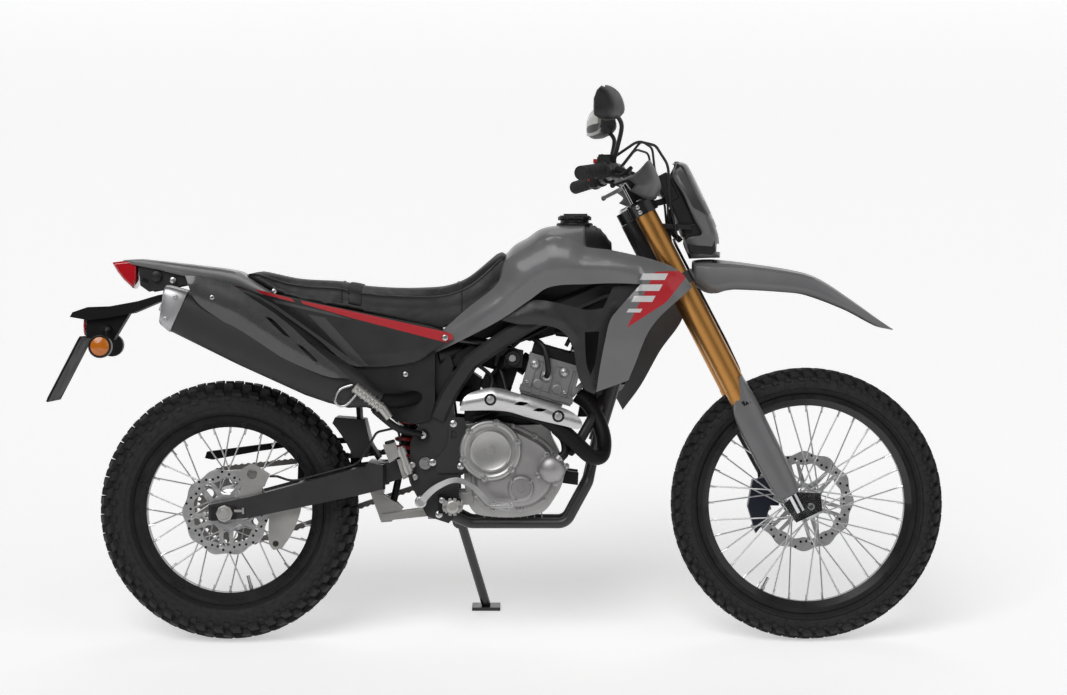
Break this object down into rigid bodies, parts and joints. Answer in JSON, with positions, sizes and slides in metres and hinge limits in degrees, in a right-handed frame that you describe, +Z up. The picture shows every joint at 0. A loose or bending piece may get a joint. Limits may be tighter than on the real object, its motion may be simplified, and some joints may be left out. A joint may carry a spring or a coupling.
{
  "type": "dual sport motorcycle",
  "caption": "Road-legal off-road motorcycle with a single-cylinder engine, wire wheels and knobbly tyres, leaning on its side stand.",
  "frame": {"origin": "on the ground, under the middle of the whole machine's box", "axes": "+X forward, +Y to the rider's left, +Z up; the machine leans 10 degrees to the left"},
  "size_m": [2.2444, 0.8346, 1.42],
  "materials": {
    "frame_black": "satin black paint",
    "arm_black": "satin black paint",
    "bolt_steel": "zinc plated",
    "shock_spring": "painted spring and damper",
    "engine_case": "cast, painted dark",
    "cover_silver": "cast covers, painted",
    "chain_steel": "oiled steel",
    "exhaust_steel": "heat-tinted steel",
    "shield_silver": "brushed",
    "silencer_dark": "gloss dark grey",
    "panel_grey": "moulded grey plastic",
    "panel_dark": "moulded charcoal plastic",
    "black_plastic": "moulded black plastic",
    "seat_vinyl": "grained vinyl",
    "tail_red": "red lens",
    "head_lens": "clear lens",
    "radiator_metal": "finned core",
    "lever_alloy": "cast",
    "brake_black": "anodised black",
    "stand_steel": "black paint",
    "fork_gold": "gold anodised",
    "fork_silver": "chromed tube, cast lug",
    "clamp_black": "black anodised",
    "grip_rubber": "ribbed rubber",
    "tyre_rubber": "rubber",
    "rim_black": "black anodised",
    "hub_metal": "cast hub and steel spokes",
    "disc_steel": "ground steel",
    "hose_rubber": "smooth rubber"
  },
  "bodies": {
    "chassis": {"main_frame": "frame_black", "pivot_bolt": "bolt_steel", "subframe": "frame_black", "swingarm": "arm_black", "rear_axle": "bolt_steel", "rear_shock": "shock_spring", "shock_linkage": "frame_black", "crankcase": "engine_case", "cylinder": "engine_case", "engine_covers": "cover_silver", "pinion": "chain_steel", "exhaust_pipe": "exhaust_steel", "heat_shield": "shield_silver", "silencer": "silencer_dark", "fuel_tank": "panel_grey", "fuel_cap": "black_plastic", "shrouds": "panel_grey", "frame_guards": "panel_dark", "side_covers": "panel_dark", "seat": "seat_vinyl", "tail_fender": "black_plastic", "inner_fender": "black_plastic", "tail_lamp": "tail_red", "plate_holder": "black_plastic", "airbox": "black_plastic", "intake": "black_plastic", "radiator": "radiator_metal", "pedals": "lever_alloy", "footpegs": "frame_black", "rear_brake": "brake_black", "rear_brake_hose": "hose_rubber", "drive_chain": "chain_steel", "chain_guard": "black_plastic", "stand_bracket": "frame_black"},
    "steering": {"fork_tubes": "fork_gold", "fork_lowers": "fork_silver", "fork_guards": "panel_grey", "triple_clamps": "clamp_black", "handlebar": "clamp_black", "grips": "grip_rubber", "hand_controls": "black_plastic", "mirrors": "black_plastic", "hand_guards": "panel_grey", "headlight_cowl": "panel_grey", "headlight": "head_lens", "meter": "black_plastic", "front_fender": "panel_grey", "front_caliper": "brake_black", "front_axle": "bolt_steel", "hoses": "hose_rubber"},
    "front_wheel": {"front_tyre": "tyre_rubber", "front_rim": "rim_black", "front_hub": "hub_metal", "front_disc": "disc_steel"},
    "rear_wheel": {"rear_tyre": "tyre_rubber", "rear_rim": "rim_black", "rear_hub": "hub_metal", "rear_disc": "disc_steel", "sprocket": "chain_steel"},
    "side_stand": {"side_stand": "stand_steel"}
  },
  "joints": [
    {"name": "steering", "type": "hinge", "parent": "chassis", "child": "steering", "pos_m": [0.38511, -0.04484, 0.95714], "axis": [-0.4617, 0.154, 0.8735], "range_deg": [-43, 43]},
    {"name": "front_wheel_spin", "type": "hinge", "parent": "steering", "child": "front_wheel", "pos_m": [0.78152, -0.15387, 0.33878], "axis": [0, 0.9848, -0.1736], "continuous": true},
    {"name": "rear_wheel_spin", "type": "hinge", "parent": "chassis", "child": "rear_wheel", "pos_m": [-0.67348, -0.15674, 0.32253], "axis": [0, 0.9848, -0.1736], "continuous": true},
    {"name": "stand_fold", "type": "hinge", "parent": "chassis", "child": "side_stand", "pos_m": [-0.09598, -0.03667, 0.26632], "axis": [0.0736, 0.9402, 0.3325], "range_deg": [0, 94]}
  ]
}
